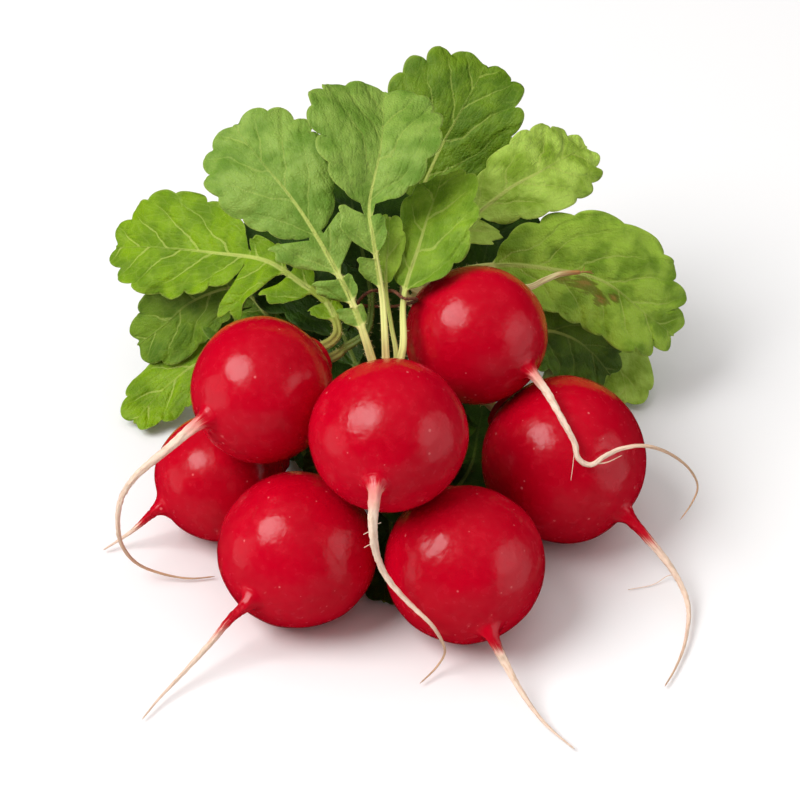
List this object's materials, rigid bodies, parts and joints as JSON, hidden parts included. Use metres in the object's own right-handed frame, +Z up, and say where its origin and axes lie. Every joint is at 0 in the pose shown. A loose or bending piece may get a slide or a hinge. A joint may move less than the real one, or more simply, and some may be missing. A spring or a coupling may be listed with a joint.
{
  "type": "bunch of radishes",
  "caption": "Bunch of round red radishes lying on a surface, with thin curling taproots, green leaves with scalloped blades on long stalks, and a thin strand round the stalks.",
  "frame": {"origin": "on the surface the bunch lies on, under the middle of its whole outline", "axes": "+Z up; +Y from the roots to the leaf tips; +X to the right seen from the roots"},
  "size_m": [0.1442, 0.1624, 0.0965],
  "materials": {
    "radish_skin": "smooth, waxy red skin; the taproot fades to cream",
    "leaf": "green leaf with a pale stalk and midrib",
    "dry_stalk": "dry straw with a brown end",
    "tie": "thin reddish brown strand"
  },
  "bodies": {
    "root": {"radish_1": "radish_skin", "radish_2": "radish_skin", "radish_3": "radish_skin", "radish_4": "radish_skin", "radish_5": "radish_skin", "radish_6": "radish_skin", "radish_7": "radish_skin", "leaf_1a": "leaf", "leaf_1b": "leaf", "leaf_1c": "leaf", "leaf_1d": "leaf", "leaf_2a": "leaf", "leaf_2b": "leaf", "leaf_2c": "leaf", "leaf_3a": "leaf", "leaf_3b": "leaf", "leaf_3c": "leaf", "leaf_4a": "leaf", "leaf_4b": "leaf", "leaf_5a": "leaf", "leaf_5b": "leaf", "leaf_6a": "leaf", "leaf_6b": "leaf", "leaf_7a": "leaf", "leaf_7b": "leaf", "leaf_7c": "leaf", "dry_stalk": "dry_stalk", "tie": "tie"}
  },
  "joints": []
}
